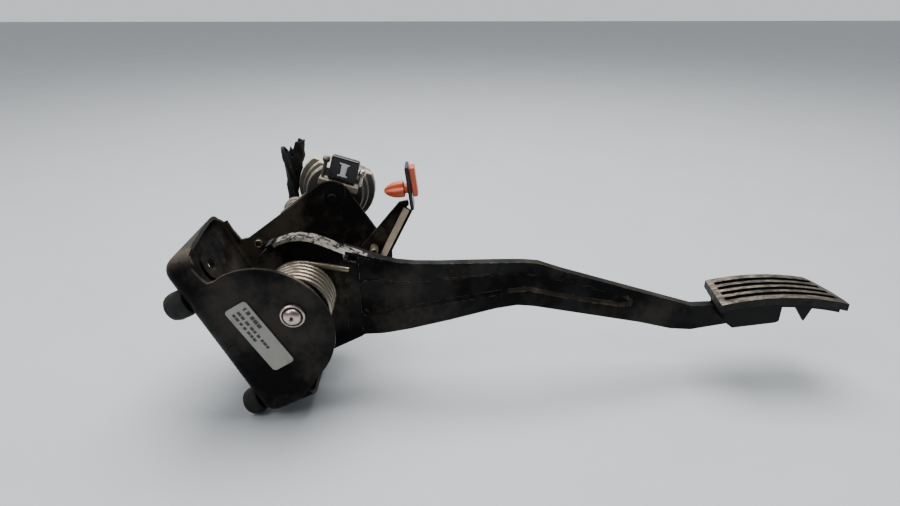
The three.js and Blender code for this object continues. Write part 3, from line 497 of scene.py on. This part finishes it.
def paint_arm(bm):
    """The rim has a bare front edge and a rubbed top; on the panel's right half dust lies on the
    flat faces and a tan painted highlight on the slopes that face up or left.
    """
    for face in bm.faces:
        spot = (face.calc_center_median() - PIVOT) / MM
        on_rim = spot.y < WEB_NEAR and spot.z > RIM_LOW and RIM_LEFT < spot.x < RIM_RIGHT
        if on_rim and face.normal.y < -0.6:
            face.material_index = ARM_COATS.index("bare")
        elif on_rim and face.normal.z > 0.5:
            face.material_index = ARM_COATS.index("rubbed")
        elif spot.y > WEB_NEAR and face.normal.y < -0.5 and spot.x > DUST_AND_HIGHLIGHT_FROM:
            # slopes facing up or left take the tan painted highlight, flat faces take the dust
            sloped = face.normal.z > 0.35 or face.normal.x < -0.35
            face.material_index = ARM_COATS.index("slope_highlight" if sloped else "web")


def paint_far_wall(bm):
    """The far wall's inner face, behind the hub, gets a thicker, lighter film."""
    for face in bm.faces:
        spot = (face.calc_center_median() - PIVOT) / MM
        if spot.y > FAR_WALL_FROM and face.normal.y < -0.8:
            face.material_index = BRACKET_COATS.index("far_wall")


def paint_flange(bm):
    """A cream painted highlight lies on the inner face of the harness bracket's folded edge."""
    for face in bm.faces:
        if face.normal.x < -0.35 and face.normal.y < -0.2:
            face.material_index = HARNESS_COATS.index("flange_highlight")


remade("mounting_bracket", BRACKET_COATS, 0.35, 2, paint_far_wall)
remade("pedal_arm", ARM_COATS, 0.4, 2, paint_arm)
remade("stop_bracket", ["bracket", "bracket_edge"], 0.3)
remade("harness_bracket", HARNESS_COATS, 0.25, 2, paint_flange)

# ---- everything that only needs its edges rounded ----
PLAIN = {
    "pin_washer": ("zinc", 0.15), "pin_circlip": ("zinc", 0.15),
    "hub_tube": ("zinc", 0.2), "sensor_crank": ("zinc", 0.25), "crank_pin": ("zinc", 0.2),
    "sensor_lever": ("zinc", 0.25), "lever_pin": ("zinc", 0.2), "sensor_shaft": ("dark", 0.15),
    "sensor_spacer_left": ("zinc", 0.2), "sensor_spacer_right": ("zinc", 0.2),
    "latch_post_right": ("zinc", 0.3), "latch_post_left": ("drum", 0.3),
    "wall_bush": ("nylon", 0.2), "hub_bush_near": ("nylon", 0.2), "hub_bush_far": ("nylon", 0.2),
    "wiper_rotor": ("nylon", 0.2), "sensor_board": ("board", 0.15),
    "connector_lock": ("white", 0.15), "connector_frame": ("gloss", 0.35),
    "connector_ledge": ("cream", 0.4), "sensor_housing": ("drum", 0.4), "sensor_cap": ("drum", 0.4),
    "cable_gland": ("cream", 0.5), "spring_sleeve_near": ("dark", 0.3),
    "spring_sleeve_far": ("dark", 0.3), "drive_link": ("dark", 0.3), "pad_carrier": ("dark", 0.3),
    "clip_plate": ("gloss", 0.3),
    "buffer_lower": ("rubber", 0.8), "buffer_upper": ("rubber", 0.8),
    "idle_stop_bumper": ("rubber", 0.4), "full_stop_bumper": ("rubber", 0.4),
    "label_plate": ("label", 0.1),
}
for node, (material, width) in PLAIN.items():
    remade(node, [material, material], width)

# ---- pivot pin: a zinc ring round a domed rivet head, and a shouldered far end ----
PIN_HEAD = [(0, -3.6, 2), (0.9, -3.8, 1), (1.5, -4.2, 1), (3.0, -4.0, 1), (4.1, -3.3, 1),
            (4.6, -2.4, 1), (4.7, -1.3, 2), (5.2, -1.2, 2), (5.4, -1.9, 0), (5.9, -2.0, 0),
            (6.3, -1.6, 0), (6.4, -0.3, 0), (5.0, -0.3, 0)]
PIN_TAIL = [(5.0, 85.4, 0), (4.3, 85.4, 0), (4.3, 86.8, 0), (4.6, 86.8, 0), (4.7, 87.4, 0),
            (4.0, 88.0, 0), (0, 88.0, 0)]
pin = lathe(PIN_HEAD + PIN_TAIL)
place(pin, PIVOT_FRAME)
stand_in(finish_object("pivot_pin_turned", pin, ["zinc", "rivet", "grime"], 40), "pivot_pin")


# ---- blind rivets: tan barrels with a dark bore ----
RIVET_FINISHES = ["tan", "tan", "grime"]


def paint_bore(bm):
    """The faces nearest the rivet's axis are the bore."""
    middle = sum((v.co for v in bm.verts), Vector()) / len(bm.verts)
    reach = max((v.co - middle).xz.length for v in bm.verts)
    for face in bm.faces:
        away = (face.calc_center_median() - middle).xz.length
        if abs(face.normal.y) < 0.5 and away < 0.6 * reach:
            face.material_index = RIVET_FINISHES.index("grime")


for side in ("left", "right"):
    remade(f"hollow_rivet_{side}", RIVET_FINISHES, 0.2, 2, paint_bore)


# ---- label: plain bars stand where print would be ----
LABEL_FRAME = (BRACKET_FRAME @ Matrix.Translation(Vector((-21.2, -0.9, -3.4)) * MM)
               @ Matrix.Rotation(math.radians(-5.5), 4, "Y"))
LABEL_ROWS = [(3.7, 2.1, 4.0, 17.3), (-0.3, 1.6, -7.7, 17.3), (-3.2, 1.6, -1.0, 17.5)]


def label_bars():
    """Rows of short bars: each row has a place across, a height, a start and an end."""
    bm = bmesh.new()
    for across, height, start, end in LABEL_ROWS:
        along = start
        while along < end:
            length = min(random.uniform(0.9, 1.7) * height, end - along)
            matrix = (Matrix.Translation((across, 0, along + length / 2))
                      @ Matrix.Diagonal((height, 0.08, length, 1)))
            bmesh.ops.create_cube(bm, size=1, matrix=matrix)
            along += length + random.choice((0.35, 0.35, 1.2))
    return bm


bars = label_bars()
place(bars, LABEL_FRAME)
stand_in(finish_object("label_bars", bars, ["ink"]), "label_plate")


# ---- pedal pad: rounded ribs, with each point's height above the grooves stored for the wear ----
PAD_CROWN = Vector((268.0, 0.0, -157.0))
PAD_RADIUS = 148.0
GROOVE_DEPTH = 2.0


def rib_heights(mesh):
    height = mesh.attributes.new("rib_height", "FLOAT", "POINT")
    for vertex, stored in zip(mesh.vertices, height.data):
        spot = (vertex.co - PIVOT) / MM - PAD_CROWN
        stored.value = 1 + (spot.xz.length - PAD_RADIUS) / GROOVE_DEPTH


pad = remade("pedal_pad", ["pad", "pad"], 0.55, 3)
rib_heights(pad.data)


# ---- torn rubber boot: folds along its length, a ragged mouth ----
def crumple(bm):
    bmesh.ops.triangulate(bm, faces=bm.faces)
    for _ in range(3):
        long_edges = [e for e in bm.edges if e.calc_length() > 2.2 * MM]
        bmesh.ops.subdivide_edges(bm, edges=long_edges, cuts=1)
        bmesh.ops.triangulate(bm, faces=bm.faces)
    bm.normal_update()
    centre = sum((v.co for v in bm.verts), Vector()) / len(bm.verts)
    for vertex in bm.verts:
        spot = vertex.co / MM
        fold = math.sin(1.5 * spot.x + 0.35 * spot.z + 2 * noise.noise(0.12 * spot))
        push = 0.35 * fold + 0.5 * noise.noise(0.3 * spot)
        out = vertex.co - centre
        out.z = 0
        vertex.co += push * MM * out.normalized()


boot = clean_copy("cable_boot")
crumple(boot)
stand_in(finish_object("cable_boot_torn", boot, ["boot"], 50), "cable_boot")

# ---- fir-tree clip: a ribbed bullet on a flat head ----
CLIP_SPOT = PIVOT + Vector((57.2, 68.0, 43.8)) * MM
CLIP_FRAME = (Matrix.Translation(CLIP_SPOT) @ Matrix.Rotation(math.radians(-7), 4, "Y")
              @ Matrix.Rotation(math.radians(-90), 4, "Z"))
BULLET = [(0, -15, 0), (1.0, -14.8, 0), (2.0, -13.8, 0), (3.0, -12.0, 0), (3.9, -9.6, 0),
          (4.3, -6.8, 0), (4.4, -3.8, 0), (4.0, -3.2, 0), (2.8, -2.7, 0), (2.8, 1.6, 0), (0, 1.6, 0)]
CLIP_HEAD = ((-4.5, 1.4, -4.5), (4.5, 4.6, 13.0))


def clip_head(bm):
    """A rounded block behind the plate."""
    low, high = (Vector(corner) for corner in CLIP_HEAD)
    middle = (low + high) / 2
    block = bmesh.ops.create_cube(bm, size=1, matrix=Matrix.Translation(middle)
                                  @ Matrix.Diagonal((*(high - low), 1)))
    edges = list({edge for vertex in block["verts"] for edge in vertex.link_edges})
    bmesh.ops.bevel(bm, geom=edges, offset=1.1, segments=4, profile=0.5, affect="EDGES")


clip = lathe(BULLET, 64, 6, 0.13, ribbed=range(2, 8))
clip_head(clip)
place(clip, CLIP_FRAME)
stand_in(finish_object("harness_clip_ribbed", clip, ["orange"], 30), "harness_clip")

# ---- return springs: the coils twist between the bracket and the arm ----
SPRING_RADIUS = 16.8
WIRE_RADIUS = 1.6
ARM_LEG = 23.0
WALL_LEG = 41.0
SPRINGS = {"near": (6.5, 25.5, 5), "far": (52.0, 37.5, 3)}  # wall end, arm end, coils


def spring_path(wall_end, arm_end, coils):
    """Points along the wire's centre: wall leg, coils, arm leg."""
    last = math.radians(80)
    first = last + 2 * math.pi * coils + math.radians(40)
    points = []
    for step in range(12):
        along = WALL_LEG * (1 - step / 12)
        points.append(Vector((
            SPRING_RADIUS * math.cos(first) - along * math.sin(first),
            wall_end,
            SPRING_RADIUS * math.sin(first) + along * math.cos(first),
        )))
    steps = 36 * coils
    for step in range(steps + 1):
        share = step / steps
        angle = first + (last - first) * share
        points.append(Vector((
            SPRING_RADIUS * math.cos(angle),
            wall_end + (arm_end - wall_end) * share,
            SPRING_RADIUS * math.sin(angle),
        )))
    for step in range(1, 11):
        along = ARM_LEG * step / 10
        points.append(Vector((
            SPRING_RADIUS * math.cos(last) + along * math.sin(last),
            arm_end,
            SPRING_RADIUS * math.sin(last) - along * math.cos(last),
        )))
    return points


def wire(points, radius, sides=14):
    bm = bmesh.new()
    rings = []
    for i, point in enumerate(points):
        ahead = points[min(i + 1, len(points) - 1)]
        behind = points[max(i - 1, 0)]
        tangent = (ahead - behind).normalized()
        across = tangent.cross(Vector((0, 1, 0))).normalized()
        rise = across.cross(tangent)
        ends = i in (0, len(points) - 1)
        size = radius * (0.8 if ends else 1.0)
        rings.append([bm.verts.new(point + size * (math.cos(a) * across + math.sin(a) * rise))
                      for a in (2 * math.pi * k / sides for k in range(sides))])
    for ring, following in zip(rings, rings[1:]):
        for k in range(sides):
            after = (k + 1) % sides
            bm.faces.new((ring[k], ring[after], following[after], following[k]))
    bm.faces.new(list(reversed(rings[0])))
    bm.faces.new(rings[-1])
    bmesh.ops.recalc_face_normals(bm, faces=bm.faces)
    return bm


for side, (wall_end, arm_end, coils) in SPRINGS.items():
    coil = wire(spring_path(wall_end, arm_end, coils), WIRE_RADIUS)
    place(coil, PIVOT_FRAME)
    spring = finish_object(f"return_spring_{side}_wire", coil, ["spring"], 60, False)
    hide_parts(f"return_spring_{side}")
    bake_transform(spring)

# ---- floor, light and camera ----
low, high = CAD_BOX


def pale_floor():
    tree = Tree("pale_floor")
    tree.set(tree.mix(tree.noise(9, 3.0), (0.50, 0.52, 0.54), (0.56, 0.58, 0.59)),
             tree.band(tree.noise(25), 0.3, 0.7, 0.5, 0.62))
    return tree.material


bpy.ops.mesh.primitive_plane_add(size=8, location=(low[0], low[1], low[2]))
floor = bpy.context.object
floor.name = "floor"
floor.data.materials.append(pale_floor())


def studio_world():
    """A pale room that is bright behind the part and overhead, and dim towards the near side."""
    world = bpy.data.worlds.new("studio")
    world.use_nodes = True
    nodes = world.node_tree.nodes
    links = world.node_tree.links
    split = nodes.new("ShaderNodeSeparateXYZ")
    links.new(nodes.new("ShaderNodeTexCoord").outputs["Generated"], split.inputs[0])
    fade = nodes.new("ShaderNodeMapRange")
    fade.interpolation_type = "SMOOTHSTEP"
    fade.inputs["From Min"].default_value = -0.5
    fade.inputs["From Max"].default_value = 0.6
    links.new(split.outputs["Y"], fade.inputs["Value"])
    mix = nodes.new("ShaderNodeMix")
    mix.data_type = "RGBA"
    mix.inputs[6].default_value = (0.10, 0.115, 0.135, 1)
    mix.inputs[7].default_value = (0.74, 0.77, 0.79, 1)
    links.new(fade.outputs["Result"], mix.inputs[0])
    links.new(mix.outputs[2], nodes["Background"].inputs["Color"])
    return world


bpy.context.scene.world = studio_world()


def area_light(name, place_at, aim, size, power):
    light = bpy.data.lights.new(name, "AREA")
    light.size = size
    light.energy = power
    made = bpy.data.objects.new(name, light)
    made.location = place_at
    made.rotation_euler = (Vector(aim) - Vector(place_at)).to_track_quat("-Z", "Y").to_euler()
    bpy.context.scene.collection.objects.link(made)


AIM = PIVOT + Vector((0.08, 0.03, 0.0))
area_light("overhead", AIM + Vector((0.05, 0.3, 1.1)), AIM, 0.9, 24)
area_light("front_fill", AIM + Vector((-0.7, -0.5, 0.9)), AIM, 0.6, 5)

camera = bpy.data.cameras.new("camera")
camera.sensor_width = 36.0
camera.lens = CAMERA_LENS
camera.clip_start = 0.01
viewer = bpy.data.objects.new("camera", camera)
viewer.location = PIVOT + Vector(CAMERA_PLACE) * MM
viewer.rotation_euler = (math.radians(90 - CAMERA_PITCH), 0, math.radians(-CAMERA_TURN))
bpy.context.scene.collection.objects.link(viewer)
bpy.context.scene.camera = viewer
